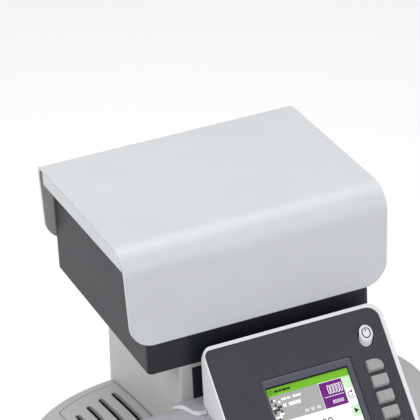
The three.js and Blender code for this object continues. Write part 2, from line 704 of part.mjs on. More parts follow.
// ---- control panel: built flat, then tilted; x is right, y is up the slope, z is out ----
const panelFrame = new THREE.Group();
panelFrame.position.set(PANEL.u, PANEL.y, PANEL.z);
panelFrame.rotation.x = PANEL.tilt;
panelFrame.updateMatrix();
machine.add(panelFrame);

// The panel's outline, pulled in by an inset that may be smaller on its left.
const panelPlan = (inset, leftInset = inset) => rounded(
  PANEL.left + leftInset, PANEL.right - inset, PANEL.bottom + inset, PANEL.top - inset,
  [PANEL.corner - inset, PANEL.corner - inset, PANEL.bigCorner - inset, PANEL.corner - inset],
);

function makePanelHousing() {
  const drop = (FRONT.top - FRONT.low) / (FRONT.brow - FRONT.foot);
  const wedge = new THREE.Shape();
  wedge.moveTo(PANEL.back, FRONT.top + GAP);
  wedge.lineTo(PANEL.back, 260);
  wedge.lineTo(-150, 260);
  wedge.lineTo(-150, FRONT.top + 0.6 + drop * (-150 - FRONT.brow));
  wedge.lineTo(FRONT.brow, FRONT.top + 0.6);
  const toPanel = panelFrame.matrix.clone().invert();
  const block = new THREE.ExtrudeGeometry(wedge, { depth: 200, bevelEnabled: false });
  block.applyMatrix4(sideways).translate(-60, 0, 0).applyMatrix4(toPanel);
  const body = prism(panelPlan(0), -60, 0.8).intersect(solid(block));
  const pocket = prism(panelPlan(PANEL.rim, PANEL.leftRim), -9.5, 2);
  const hollow = box(PANEL.left + 10, PANEL.right - 10, -60, -8, -28, -5);
  add("panel_housing", cut(body, pocket, hollow), "white", panelFrame);
}

const SCREEN_OPENING = { left: -17, right: 54, top: -30.5, bottom: -88 };
const POWER = { u: 69.8, y: -21.5, radius: 5, tall: 1.15, lean: 3.8, high: 5 };

function padKeys() {
  const keys = [];
  const names = ["1", "2", "3", "4", "5", "6", "7", "8", "9", "clear", "0", "enter"];
  for (let row = 0; row < PAD.rows; row++)
    for (let column = 0; column < PAD.columns; column++)
      keys.push({
        name: "number_key_" + names[row * PAD.columns + column],
        x: PAD.left + column * PAD.pitchX, y: PAD.top - row * PAD.pitchY, wide: PAD.wide, high: PAD.high,
      });
  return keys;
}

const softKeys = () => Array.from({ length: SOFT.count }, (_, i) => ({
  name: "soft_key_" + (i + 1),
  x: SOFT.left, y: SOFT.top - SOFT.pitch * i, wide: SOFT.wide, high: SOFT.high,
  arc: i === 0 ? 6 : 1.2,
}));

// A key with a flat top, small side draft and a long sloped front edge.
function makeKey({ name, x, y, wide, high, arc = 1.2 }) {
  const corners = (grow, lower) => [
    x - grow, x + wide + grow, y - high - lower, y + grow,
  ];
  const rings = [
    [corners(KEY_DRAFT, KEY_SKIRT), -5], [corners(KEY_DRAFT, KEY_SKIRT), 0.3], [corners(0, 0.3), KEY_PROUD],
  ].map(([[x0, x1, y0, y1], z]) => keyRing(x0, x1, y0, y1, arc, z));
  add(name, loft(rings), "key", panelFrame);
}

// A key's outline: small arcs, but for the upper right corner, whose radius is given.
function keyRing(x0, x1, y0, y1, arc, z) {
  const corners = [
    [x1, y0, 1.2, -Math.PI / 2, -1, 1], [x1, y1, arc, 0, -1, -1],
    [x0, y1, 1.2, Math.PI / 2, 1, -1], [x0, y0, 1.2, Math.PI, 1, 1],
  ];
  return corners.flatMap(([cx, cy, r, from, sx, sy]) => [0, 1, 2, 3].map((i) => {
    const angle = from + (Math.PI / 6) * i;
    return new THREE.Vector3(
      cx + sx * r + r * Math.cos(angle), cy + sy * r + r * Math.sin(angle), z);
  }));
}

// The hole that a key slides in, with the key's own outline at its foot.
const keyHole = ({ x, y, wide, high, arc = 1.2 }) => {
  const room = KEY_DRAFT + KEY_ROOM;
  const outline = (z) => keyRing(
    x - room, x + wide + room, y - high - KEY_SKIRT - KEY_ROOM, y + room, arc + KEY_ROOM, z);
  return loft([outline(-12), outline(5)]);
};

function makePanel() {
  makePanelHousing();
  const keys = [...softKeys(), ...padKeys()];
  const o = SCREEN_OPENING;
  const opening = (grow, z0, z1) =>
    prism(rounded(o.left - grow, o.right + grow, o.bottom - grow, o.top + grow, 2), z0, z1, 3);
  // An oval ring of points for the power button, taller than it is wide.
  const disc = (cy, radius, z) => Array.from({ length: 24 }, (_, i) => {
    const angle = (2 * Math.PI * i) / 24;
    return new THREE.Vector3(
      POWER.u + radius * Math.cos(angle), cy + radius * POWER.tall * Math.sin(angle), z);
  });
  const plate = prism(panelPlan(PANEL.rim + GAP, PANEL.leftRim + GAP), -2, 0);
  const ovalHole = disc(POWER.y + 0.5, POWER.radius + 1.2, -12);
  const powerHole = loft([ovalHole, ovalHole.map((p) => p.clone().setZ(5))]);
  const holes = [opening(GAP, -5, 5), powerHole, ...keys.map(keyHole)];
  add("panel_fascia", cut(plate, ...holes), "fascia", panelFrame);

  const glass = (grow, z0, z1) => box(
    SCREEN.left - grow, SCREEN.right + grow, SCREEN.bottom - grow, SCREEN.top + grow, z0, z1);
  add("display_bezel", cut(opening(0, -4, -0.2), glass(0, -6, 5)), "fascia", panelFrame);
  add("display_screen", glass(-GAP, -4, -SCREEN.depth), "glass", panelFrame);

  add("power_button", loft([
    disc(POWER.y, POWER.radius, -5), disc(POWER.y, POWER.radius, 0.3),
    disc(POWER.y + POWER.lean, POWER.radius + 0.2, POWER.high),
  ]), "white", panelFrame);
  keys.forEach(makeKey);
}

makeBase();
makeBody();
makeHatch();
makeRearFittings();
makeFrontUnit();
makeColumn();
makeLedge();
makeScale();
makePlatter();
makeTransport();
makeElectronics();
makePanel();

export default machine;
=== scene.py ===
# Looks for the franking machine: finishes, rounded edges and the small pieces that the CAD leaves out.
# Lengths in the tables are millimetres; everything put into Blender is metres.
import math

import bmesh
import bpy
from mathutils import Matrix, Vector


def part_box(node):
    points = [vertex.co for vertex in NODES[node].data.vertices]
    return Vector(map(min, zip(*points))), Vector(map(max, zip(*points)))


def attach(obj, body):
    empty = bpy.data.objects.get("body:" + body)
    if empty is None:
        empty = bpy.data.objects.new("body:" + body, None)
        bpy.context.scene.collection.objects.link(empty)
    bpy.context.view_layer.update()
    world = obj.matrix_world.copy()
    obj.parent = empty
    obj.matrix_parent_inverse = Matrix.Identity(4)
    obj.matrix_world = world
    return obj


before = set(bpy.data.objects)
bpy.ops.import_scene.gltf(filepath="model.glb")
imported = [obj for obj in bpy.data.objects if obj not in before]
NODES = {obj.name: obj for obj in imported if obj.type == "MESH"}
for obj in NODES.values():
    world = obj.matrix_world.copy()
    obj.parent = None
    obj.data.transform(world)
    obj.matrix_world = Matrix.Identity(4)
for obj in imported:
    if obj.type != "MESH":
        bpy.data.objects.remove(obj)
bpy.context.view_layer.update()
MM = 0.001
KEY_NODES = [n for n in NODES if n.startswith(("soft_key", "number_key"))]


# ---------------------------------------------------------------- materials
def material(name, colour, rough, metal=0.0, grain=0.0, grain_size=0.5, mottle=0.04, cloud=30.0,
             streak=None, coat=0.0, rough_spread=0.06, dust=0.0, emit=0.0, specular=0.5,
             inward_tone=None, walls=None):
    """A finish with colour mottling, uneven gloss and a fine moulded or brushed grain. Sizes in mm.
    The inward colour, a (centre, colour) pair, goes on the faces that look towards a point inside the
    piece, and walls is the colour of the faces that don't look up: painted shade on the hatch, a painted
    highlight on the ledge."""
    made = bpy.data.materials.new(name)
    made.use_nodes = True
    tree = made.node_tree
    nodes, links = tree.nodes, tree.links
    shader = nodes["Principled BSDF"]
    shader.inputs["Metallic"].default_value = metal
    shader.inputs["Coat Weight"].default_value = coat
    shader.inputs["Coat Roughness"].default_value = 0.12
    shader.inputs["Specular IOR Level"].default_value = specular
    place = nodes.new("ShaderNodeTexCoord")
    spot = place.outputs["Object"]
    if streak:
        stretch = nodes.new("ShaderNodeVectorMath")
        stretch.operation = "MULTIPLY"
        stretch.inputs[1].default_value = streak
        links.new(spot, stretch.inputs[0])
        spot = stretch.outputs[0]
    broad = nodes.new("ShaderNodeTexNoise")
    broad.inputs["Scale"].default_value = 1000.0 / cloud
    broad.inputs["Detail"].default_value = 5.0
    links.new(spot, broad.inputs["Vector"])
    fine = nodes.new("ShaderNodeTexNoise")
    fine.inputs["Scale"].default_value = 1000.0 / grain_size
    fine.inputs["Detail"].default_value = 3.0
    links.new(spot, fine.inputs["Vector"])
    blendin = nodes.new("ShaderNodeMath")
    blendin.operation = "MULTIPLY_ADD"
    blendin.inputs[1].default_value = 0.35
    links.new(fine.outputs["Fac"], blendin.inputs[0])
    scaled = nodes.new("ShaderNodeMath")
    scaled.operation = "MULTIPLY"
    scaled.inputs[1].default_value = 0.65
    links.new(broad.outputs["Fac"], scaled.inputs[0])
    links.new(scaled.outputs[0], blendin.inputs[2])
    tone = nodes.new("ShaderNodeValToRGB")
    tone.color_ramp.elements[0].position = 0.35
    tone.color_ramp.elements[1].position = 0.65
    tone.color_ramp.elements[0].color = (*[c * (1 - mottle) for c in colour], 1)
    tone.color_ramp.elements[1].color = (*[min(1.0, c * (1 + mottle)) for c in colour], 1)
    links.new(blendin.outputs[0], tone.inputs["Fac"])
    skin = tone.outputs["Color"]
    if dust:
        up = nodes.new("ShaderNodeNewGeometry")
        split = nodes.new("ShaderNodeSeparateXYZ")
        links.new(up.outputs["Normal"], split.inputs[0])
        level = nodes.new("ShaderNodeMapRange")
        level.inputs["From Min"].default_value = 0.4
        level.inputs["From Max"].default_value = 1.0
        level.inputs["To Max"].default_value = dust
        links.new(split.outputs["Z"], level.inputs["Value"])
        mix = nodes.new("ShaderNodeMix")
        mix.data_type = "RGBA"
        mix.inputs["B"].default_value = (0.75, 0.75, 0.74, 1)
        links.new(level.outputs[0], mix.inputs["Factor"])
        links.new(skin, mix.inputs["A"])
        skin = mix.outputs["Result"]
    # The second colour goes on the faces that look towards the given centre (inside the platter, a plain
    # darker grey) and, with walls, on the faces that don't look up (painted shade on the hatch, a painted
    # highlight on the ledge).
    if inward_tone or walls:
        facing = nodes.new("ShaderNodeVectorMath")
        facing.operation = "DOT_PRODUCT"
        links.new(place.outputs["Normal"], facing.inputs[0])
        if inward_tone:
            from_centre = nodes.new("ShaderNodeVectorMath")
            from_centre.operation = "SUBTRACT"
            from_centre.inputs[1].default_value = inward_tone[0]
            links.new(place.outputs["Object"], from_centre.inputs[0])
            links.new(from_centre.outputs[0], facing.inputs[1])
        else:
            facing.inputs[1].default_value = (0, 0, 1)
        share = nodes.new("ShaderNodeMapRange")
        share.inputs["From Min"].default_value = 0.004 if inward_tone else 0.75
        share.inputs["From Max"].default_value = -0.004 if inward_tone else 0.45
        links.new(facing.outputs["Value"], share.inputs["Value"])
        second = nodes.new("ShaderNodeMix")
        second.data_type = "RGBA"
        second.inputs["B"].default_value = (*(inward_tone[1] if inward_tone else walls), 1)
        links.new(share.outputs[0], second.inputs["Factor"])
        links.new(skin, second.inputs["A"])
        skin = second.outputs["Result"]
    links.new(skin, shader.inputs["Base Color"])
    gloss = nodes.new("ShaderNodeMapRange")
    gloss.inputs["To Min"].default_value = max(0.02, rough - rough_spread)
    gloss.inputs["To Max"].default_value = rough + rough_spread
    links.new(broad.outputs["Fac"], gloss.inputs["Value"])
    links.new(gloss.outputs[0], shader.inputs["Roughness"])
    if grain:
        bump = nodes.new("ShaderNodeBump")
        bump.inputs["Strength"].default_value = grain
        bump.inputs["Distance"].default_value = 0.0001
        links.new(fine.outputs["Fac"], bump.inputs["Height"])
        links.new(bump.outputs["Normal"], shader.inputs["Normal"])
    if emit:
        links.new(skin, shader.inputs["Emission Color"])
        shader.inputs["Emission Strength"].default_value = emit
    return made


PLATTER_LOW, PLATTER_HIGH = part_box("platter")
PLATTER_MIDDLE = ((PLATTER_LOW.x + PLATTER_HIGH.x) / 2, (PLATTER_LOW.y + PLATTER_HIGH.y) / 2, 0.2)

M = {
    # Faces that look towards the platter's middle get a plain darker, warmer grey.
    "silver": material("platter paint", (0.585, 0.600, 0.620), 0.50, metal=0.12, grain=0.4,
                       grain_size=0.35, mottle=0.03, cloud=60, specular=0.35,
                       inward_tone=(PLATTER_MIDDLE, (0.54, 0.535, 0.52))),
    "charcoal": material("charcoal plastic", (0.0125, 0.0150, 0.0215), 0.44, grain=0.35,
                         grain_size=0.45, mottle=0.14, cloud=25, dust=0.02, specular=0.34),
    "light": material("light grey plastic", (0.50, 0.50, 0.495), 0.5, grain=0.45,
                      grain_size=0.6, mottle=0.03, cloud=45, specular=0.4),
    "bluish": material("bluish grey plastic", (0.42, 0.415, 0.455), 0.48, grain=0.45,
                       grain_size=0.6, mottle=0.03, cloud=45, specular=0.4),
    # The hatch's faces that don't look up, the walls of its slots and seam, are painted dark grey (0.26):
    # painted shade in these recesses.
    "hatch": material("vented hatch plastic", (0.50, 0.50, 0.495), 0.5, grain=0.45,
                      grain_size=0.6, mottle=0.03, cloud=45, walls=(0.26, 0.26, 0.26), specular=0.4),
    # The ledge's faces that don't look up, its rounded S-shaped edge, are painted near white (0.80, 0.80,
    # 0.83) over the bluish grey top: a painted highlight along the ridge.
    "ledge": material("ledge plastic", (0.40, 0.395, 0.44), 0.42, grain=0.3, grain_size=0.6,
                      mottle=0.02, cloud=45, walls=(0.80, 0.80, 0.83), specular=0.4),
    "white": material("white plastic", (0.74, 0.74, 0.76), 0.32, grain=0.15,
                      grain_size=0.5, mottle=0.015, cloud=30, coat=0.1),
    "fascia": material("fascia film", (0.038, 0.036, 0.047), 0.42, grain=0.5,
                       grain_size=0.3, mottle=0.06, cloud=18, specular=0.4),
    "bezel": material("bezel plastic", (0.066, 0.067, 0.094), 0.45, grain=0.3,
                      grain_size=0.4, mottle=0.05, cloud=12),
    "key": material("key plastic", (0.33, 0.322, 0.322), 0.45, grain=0.3,
                    grain_size=0.35, mottle=0.03, cloud=9, specular=0.4),
    "rubber": material("rubber", (0.018, 0.018, 0.019), 0.85, grain=0.8,
                       grain_size=0.5, mottle=0.2, cloud=8, rough_spread=0.08),
    "steel": material("zinc plated steel", (0.50, 0.51, 0.52), 0.34, metal=0.9, grain=0.25,
                      grain_size=0.8, mottle=0.06, cloud=14, streak=(1, 12, 12)),
    "plate": material("brushed deck steel", (0.60, 0.61, 0.62), 0.30, metal=0.95, grain=0.5,
                      grain_size=0.6, mottle=0.05, cloud=20, streak=(0.05, 1.6, 1)),
    "aluminium": material("cast aluminium", (0.58, 0.59, 0.60), 0.42, metal=0.85, grain=0.6,
                          grain_size=0.7, mottle=0.05, cloud=10),
    "board": material("solder mask", (0.012, 0.11, 0.045), 0.35, grain=0.3,
                      grain_size=0.9, mottle=0.18, cloud=5, coat=0.3),
    "black": material("black plastic", (0.013, 0.014, 0.016), 0.45, grain=0.4,
                      grain_size=0.5, mottle=0.2, cloud=12),
    "brass": material("plated contact", (0.72, 0.55, 0.25), 0.28, metal=1.0, grain=0.2,
                      grain_size=0.4, mottle=0.06, cloud=4),
    "glass": material("unlit display", (0.010, 0.010, 0.012), 0.16, grain=0.05,
                      grain_size=0.3, mottle=0.05, cloud=12),
    "green": material("display green", (0.175, 0.475, 0.022), 0.35, grain=0.05, mottle=0.03,
                      cloud=20, emit=0.04, specular=0.2),
    "pale": material("display pale green", (0.60, 0.84, 0.57), 0.35, grain=0.05, mottle=0.02,
                     cloud=20, emit=0.04, specular=0.2),
    "purple": material("display purple", (0.155, 0.014, 0.195), 0.35, grain=0.05, mottle=0.03,
                       cloud=20, emit=0.04, specular=0.2),
    "info": material("display grey", (0.39, 0.39, 0.385), 0.35, grain=0.05, mottle=0.02,
                     cloud=20, emit=0.03, specular=0.2),
    "lit": material("display white", (0.90, 0.90, 0.90), 0.35, grain=0.05, mottle=0.01,
                    cloud=20, emit=0.2, specular=0.2),
    "ink": material("display ink", (0.02, 0.022, 0.024), 0.35, grain=0.05, mottle=0.1, cloud=20,
                    specular=0.2),
    "print": material("legend print", (0.045, 0.045, 0.05), 0.5, grain=0.1, mottle=0.1, cloud=6),
    "label": material("plain label", (0.70, 0.70, 0.68), 0.35, grain=0.1, mottle=0.02, cloud=10,
                      coat=0.2),
}

NODE_FINISH = {
    "silver": ["platter"],
    "charcoal": ["scale_housing", "scale_lid", "column_core", "base_pan"],
    "light": ["scale_column", "body_cover", "lower_cover"],
    "hatch": ["vent_hatch"],
    "ledge": ["ledge_plate"],
    "bluish": ["front_hood", "console_cover"],
    "white": ["panel_housing", "power_button", "motor_pulley"],
    "fascia": ["panel_fascia"],
    "bezel": ["display_bezel"],
    "glass": ["display_screen"],
    "plate": ["transport_plate"],
    "steel": ["chassis", "feed_shaft_in", "feed_shaft_out", "print_frame", "drive_motor",
              "power_supply", "platter_carrier"],
    "aluminium": ["load_cell"],
    "rubber": ["feed_tyre_in", "feed_tyre_out", "pressure_roller_in", "pressure_roller_out",
               "drive_belt", "foot_front_left", "foot_front_right", "foot_back_left", "foot_back_right"],
    "board": ["main_board"],
    "black": ["power_inlet", "mains_switch", "print_head", "ink_cartridge", "fan_frame", "fan_rotor"],
}
NODE_FINISH["key"] = KEY_NODES

# How round each piece's edges are, in mm. The rest get EDGE.
EDGE = 0.4
EDGES = {
    "platter": 1.1, "scale_housing": 1.4, "scale_column": 0.35, "body_cover": 1.6, "vent_hatch": 0.35,
    "front_hood": 1.4, "console_cover": 1.4, "lower_cover": 3.0, "base_pan": 1.2, "ledge_plate": 1.2,
    "panel_housing": 1.1, "panel_fascia": 0.25, "display_bezel": 0.3, "power_button": 0.7,
    "display_screen": 0.1, "main_board": 0.1, "drive_motor": 1.0, "feed_tyre_in": 1.0,
    "feed_tyre_out": 1.0, "column_core": 0.3,
}
EDGES.update({n: 0.25 for n in KEY_NODES})

# How sharp an edge has to be before it is rounded, in degrees. The rest get SHARP_ANGLE.
SHARP_ANGLE = 25.0
SHARP = {n: 48.0 for n in KEY_NODES}
SHARP["power_button"] = 52.0


def soften(piece, width, segments=3, angle=SHARP_ANGLE):
    """Rounds a piece's edges, over flat faces that are first cleared of their triangle edges."""
    weld = piece.modifiers.new("weld", "WELD")
    weld.merge_threshold = 0.01 * MM
    flat = piece.modifiers.new("flat", "DECIMATE")
    flat.decimate_type = "DISSOLVE"
    flat.angle_limit = math.radians(0.6)
    edge = piece.modifiers.new("edge", "BEVEL")
    edge.width = width * MM
    edge.segments = segments
    edge.limit_method = "ANGLE"
    edge.angle_limit = math.radians(angle)
    edge.miter_outer = "MITER_ARC"
    shade = piece.modifiers.new("shade", "WEIGHTED_NORMAL")
    shade.keep_sharp = False


for finish, names in NODE_FINISH.items():
    for name in names:
        node = NODES[name]
        node.data.materials.clear()
        node.data.materials.append(M[finish])
        soften(node, EDGES.get(name, EDGE), angle=SHARP.get(name, SHARP_ANGLE))


# ---------------------------------------------------------------- making pieces
def piece(name, bm, finish, body="root", slot=None, smooth=True, place=None, edge=0.0, segments=2):
    """Turns a bmesh into a piece that rides on a body. Several finishes are its material slots."""
    if place is not None:
        bm.transform(place)
    mesh = bpy.data.meshes.new(name)
    bmesh.ops.recalc_face_normals(bm, faces=bm.faces)
    bm.to_mesh(mesh)
    bm.free()
    for key in ([finish] if isinstance(finish, str) else finish):
        mesh.materials.append(M[key])
    for face in mesh.polygons:
        face.use_smooth = smooth
    made = bpy.data.objects.new(name, mesh)
    bpy.context.scene.collection.objects.link(made)
    if edge:
        soften(made, edge, segments)
    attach(made, body)
    return made


def block(bm, x0, x1, y0, y1, z0, z1, index=0, place=None):
    """A box in mm, added to bm with a material index."""
    corners = [Vector((x, y, z)) * MM for x in (x0, x1) for y in (y0, y1) for z in (z0, z1)]
    if place is not None:
        corners = [place @ c for c in corners]
    verts = [bm.verts.new(c) for c in corners]
    for quad in ((0, 1, 3, 2), (4, 6, 7, 5), (0, 4, 5, 1), (2, 3, 7, 6), (0, 2, 6, 4), (1, 5, 7, 3)):
        bm.faces.new([verts[i] for i in quad]).material_index = index
    return verts


def outline(bm, points, z0, z1, index=0, place=None):
    """A flat outline of (x, y) points in mm, raised from z0 to z1."""
    rows = []
    for z in (z0, z1):
        row = [Vector((x * MM, y * MM, z * MM)) for x, y in points]
        rows.append([bm.verts.new(place @ p if place is not None else p) for p in row])
    count = len(points)
    for i in range(count):
        j = (i + 1) % count
        bm.faces.new((rows[0][i], rows[0][j], rows[1][j], rows[1][i])).material_index = index
    bm.faces.new(rows[1]).material_index = index
    bm.faces.new(list(reversed(rows[0]))).material_index = index


def turned(bm, profile, centre, axis="Z", sides=24, index=0, place=None):
    """A round piece: (radius, height) pairs in mm about an axis through centre."""
    turn = {"Z": Matrix.Identity(4), "Y": Matrix.Rotation(math.radians(-90), 4, "X"),
            "X": Matrix.Rotation(math.radians(90), 4, "Y")}[axis]
    base = Matrix.Translation(Vector(centre) * MM) @ turn
    if place is not None:
        base = place @ base
    rings = []
    for radius, height in profile:
        angles = [2 * math.pi * i / sides for i in range(sides)]
        points = [Vector((radius * math.cos(a), radius * math.sin(a), height)) * MM for a in angles]
        rings.append([bm.verts.new(base @ p) for p in points])
    for lower, upper in zip(rings, rings[1:]):
        for i in range(sides):
            j = (i + 1) % sides
            bm.faces.new((lower[i], lower[j], upper[j], upper[i])).material_index = index
    bm.faces.new(list(reversed(rings[0]))).material_index = index
    bm.faces.new(rings[-1]).material_index = index


def rounded(x0, x1, y0, y1, radius, steps=5):
    """The points of a rectangle with round corners, anticlockwise."""
    points = []
    for cx, cy, start in ((x1 - radius, y0 + radius, -90), (x1 - radius, y1 - radius, 0),
                          (x0 + radius, y1 - radius, 90), (x0 + radius, y0 + radius, 180)):
        for i in range(steps + 1):
            a = math.radians(start + 90 * i / steps)
            points.append((cx + radius * math.cos(a), cy + radius * math.sin(a)))
    return points


def hoop(bm, centre, radius, width, z0, z1, start=0.0, stop=360.0, steps=28, index=0, place=None,
         tall=1.0):
    """A flat ring, or part of one, on the plane z = z0 to z1. tall stretches it along y."""
    closed = stop - start >= 360.0
    count = steps if closed else steps + 1
    rows = []
    for i in range(count):
        a = math.radians(start + (stop - start) * i / steps)
        row = []
        for r, z in ((radius - width / 2, z0), (radius + width / 2, z0), (radius + width / 2, z1),
                     (radius - width / 2, z1)):
            reach_y = r if tall == 1.0 else r + radius * (tall - 1)
            p = Vector((centre[0] + r * math.cos(a), centre[1] + reach_y * math.sin(a), z)) * MM
            row.append(bm.verts.new(place @ p if place is not None else p))
        rows.append(row)
    for i in range(count if closed else count - 1):
        a, b = rows[i], rows[(i + 1) % count]
        for k in range(4):
            m = (k + 1) % 4
            bm.faces.new((a[k], a[m], b[m], b[k])).material_index = index
    if not closed:
        bm.faces.new(list(reversed(rows[0]))).material_index = index
        bm.faces.new(rows[-1]).material_index = index


# ---------------------------------------------------------------- the control panel's own frame
# On the panel, u runs right, v up along the slope and the third figure out of the fascia, all in mm.
TILT = math.radians(47.9)
PANEL = Matrix.Translation(Vector((10, -35, 244.3)) * MM) @ Matrix.Rotation(TILT, 4, "X")
SCREEN = {"left": -15, "right": 50, "top": -36.4, "bottom": -85.2, "face": -2.0}
POWER = {"u": 69.8, "v": -21.5, "lean": 3.6, "top": 5.0}
SOFT = {"u": 70.0, "v": -40.6, "pitch": 11.95, "count": 5}
PAD = {"left": -13.5, "top": -95.5, "wide": 17.5, "high": 7.6, "pitch_u": 22, "pitch_v": 10.6}
PAD_NAMES = ["1", "2", "3", "4", "5", "6", "7", "8", "9", "clear", "0", "enter"]
KEY_TOP = 2.5


def digit_zero(bm, u, v, wide, high, line, z0, z1, index):
    """An oblong figure 0 whose lower left corner is at u, v."""
    outer = rounded(u, u + wide, v, v + high, wide / 2 - 0.01, 4)
    inner = rounded(u + line, u + wide - line, v + line, v + high - line, wide / 2 - line - 0.01, 4)
    rows = []
    for points, z in ((inner, z0), (outer, z0), (outer, z1), (inner, z1)):
        rows.append([bm.verts.new(PANEL @ (Vector((x, y, z)) * MM)) for x, y in points])
    count = len(outer)
    for k in range(4):
        a, b = rows[k], rows[(k + 1) % 4]
        for i in range(count):
            j = (i + 1) % count
            bm.faces.new((a[i], a[j], b[j], b[i])).material_index = index


def display():
    """What the screen shows: a header, a block of squares, bars for writing, a counter and labels."""
    finishes = ["lit", "green", "info", "purple", "pale", "ink"]
    lit, green, info, purple, pale, ink = range(6)
    bm = bmesh.new()
    base = SCREEN["face"] + 0.02

    def patch(u0, u1, v0, v1, index, layer=1, corner=0.0):
        top = base + 0.05 * layer
        if corner:
            outline(bm, rounded(u0, u1, v0, v1, corner, 3), top - 0.04, top, index, PANEL)
        else:
            block(bm, u0, u1, v0, v1, top - 0.04, top, index, PANEL)

    left, right, top, bottom = (SCREEN[k] for k in ("left", "right", "top", "bottom"))
    # The lit picture stops 1 mm below the screen's top edge and 0.5 mm short of the other edges, so the
    # unlit glass shows as a dark band, widest at the top: a painted shadow under the bezel.
    patch(left + 0.5, right - 0.5, bottom + 0.5, top - 1.0, lit)
    patch(left + 0.5, right - 0.5, top - 6.6, top - 1.0, green, 2)
    # the header's small sign and its writing, drawn as one dark bar with gaps
    hoop(bm, (left + 3.4, top - 3.8), 1.2, 0.4, base + 0.11, base + 0.15,
         index=ink, place=PANEL, steps=14)
    for start, wide in ((6, 3.1), (9.6, 2.2), (12.3, 3.4), (16.1, 2.4)):
        patch(left + start, left + start + wide, top - 4.6, top - 3.0, ink, 3)
    patch(left + 0.5, 24.3, -62.2, top - 6.6, info, 2)
    patch(24.6, 42.6, -62.2, -43.4, purple, 2)
    patch(42.9, right - 0.5, -52.0, top - 6.6, pale, 2)
    patch(42.9, right - 0.5, -61.6, -52.3, lit, 3)
    # five noughts, a line and a row of five small noughts below it
    for i in range(5):
        digit_zero(bm, 30.2 + 2.35 * i, -52.6, 1.9, 6.6, 0.42, base + 0.11, base + 0.16, lit)
    patch(26.2, 41.4, -54.4, -54.05, lit, 3)
    for i in range(5):
        digit_zero(bm, 31.4 + 1.75 * i, -59.9, 1.3, 2.6, 0.33, base + 0.11, base + 0.16, lit)
    # a made-up code block of squares
    seed = 7
    for row in range(10):
        for column in range(4):
            seed = (seed * 137 + 53) % 1009
            if seed % 5 < 3:
                u = left + 1.4 + 1.75 * column
                v = -45.4 - 1.75 * row
                patch(u, u + 1.6, v, v + 1.6, ink if seed % 2 else lit, 3)
    # two lines of bars stand for writing
    for v, words in ((-47.6, (3.4, 3.0, 6.2)), (-52.6, (3.2, 9.4))):
        u = left + 9.6
        for wide in words:
            step = 0.0
            while step < wide - 0.5:
                low_letter = (int(step * 3) + int(v)) % 2
                patch(u + step, u + step + 0.95, v, v + 2.6 - 0.8 * low_letter, lit, 3)
                step += 1.35
            u += wide + 1.2
    # three pairs of small noughts
    for i in range(8):
        if i % 3 != 2:
            digit_zero(bm, 9.2 + 1.55 * i, -60.2, 1.15, 2.3, 0.3, base + 0.11, base + 0.16, lit)
    # the circling arrow in the label beside the second key
    hoop(bm, (46.3, -57.0), 2.3, 0.45, base + 0.16, base + 0.2, 60, 330, 16, ink, PANEL, tall=1.15)
    outline(bm, [(46.0, -54.9), (47.6, -53.2), (47.9, -55.6)], base + 0.16, base + 0.2, ink, PANEL)
    hoop(bm, (46.3, -57.0), 0.9, 0.4, base + 0.16, base + 0.2, 200, 400, 10, ink, PANEL)
    # the framed amount and the lower labels
    for u0, u1, v0, v1 in ((10.0, 30.0, -78.0, -64.0), (-12.0, 7.0, -78.0, -66.0)):
        for a0, a1, b0, b1 in ((u0, u1, v1 - 0.35, v1), (u0, u1, v0, v0 + 0.35),
                               (u0, u0 + 0.35, v0, v1), (u1 - 0.35, u1, v0, v1)):
            patch(a0, a1, b0, b1, pale, 2)
    for i in range(3):
        digit_zero(bm, 14.2 + 4.6 * i, -75.6, 3.4, 7.4, 0.8, base + 0.11, base + 0.16, ink)
    for v0 in (-64.5, -76.5):
        patch(42.9, right - 0.5, v0 - 8.5, v0, pale, 2, 0.6)
        outline(bm, [(45.0, v0 - 6.2), (48.2, v0 - 4.2), (45.0, v0 - 2.2)],
                base + 0.11, base + 0.15, ink, PANEL)
    patch(left + 0.5, right - 0.5, bottom + 0.5, bottom + 3.4, info, 2)
    piece("display_picture", bm, finishes, slot="display_glass", smooth=False)


display()


# ---------------------------------------------------------------- panel trim
def panel_trim():
    # sloped frame round the screen, over the bezel's flat face
    bm = bmesh.new()
    outer = rounded(-16.6, 53.6, -87.6, -30.9, 1.6, 4)
    middle = rounded(-16.0, 53.0, -87.0, -31.5, 1.2, 4)
    inner = rounded(-15.0, 50.0, -85.2, -36.4, 0.3, 4)
    levels = [(outer, -0.18), (middle, 0.12), (inner, -1.35), (inner, -1.9)]
    rows = [[bm.verts.new(PANEL @ (Vector((x, y, z)) * MM)) for x, y in points] for points, z in levels]
    for a, b in zip(rows, rows[1:]):
        for i in range(len(a)):
            j = (i + 1) % len(a)
            bm.faces.new((a[i], a[j], b[j], b[i]))
    bezel = piece("bezel_slope", bm, "bezel", slot="fascia_plastic", smooth=False)
    thick = bezel.modifiers.new("thick", "SOLIDIFY")
    thick.thickness = 0.1 * MM
    thick.offset = -1

    # the stand-by sign on top of the leaning button, and the collar round the button's foot
    u, v = POWER["u"], POWER["v"] + POWER["lean"]
    low, high = POWER["top"] - 0.02, POWER["top"] + 0.1
    bm = bmesh.new()
    hoop(bm, (u, v), 3.1, 0.85, low, high, 112, 428, 30, 0, PANEL, tall=1.2)
    outline(bm, rounded(u - 0.4, u + 0.4, v + 0.9, v + 4.5, 0.3, 2), low, high, 0, PANEL)
    piece("power_sign", bm, "print", "power_key", "key_plastic", smooth=False)
    bm = bmesh.new()
    hoop(bm, (u, POWER["v"] + 0.5), 6.9, 0.9, -0.05, 0.25, 0, 360, 36, 0, PANEL, tall=1.13)
    piece("power_collar", bm, "bezel", slot="fascia_plastic")


panel_trim()


def pad_middle(i):
    """The middle of number key i, counted row by row."""
    u = PAD["left"] + PAD["pitch_u"] * (i % 3) + PAD["wide"] / 2
    v = PAD["top"] - PAD["pitch_v"] * (i // 3) - PAD["high"] / 2
    return u, v


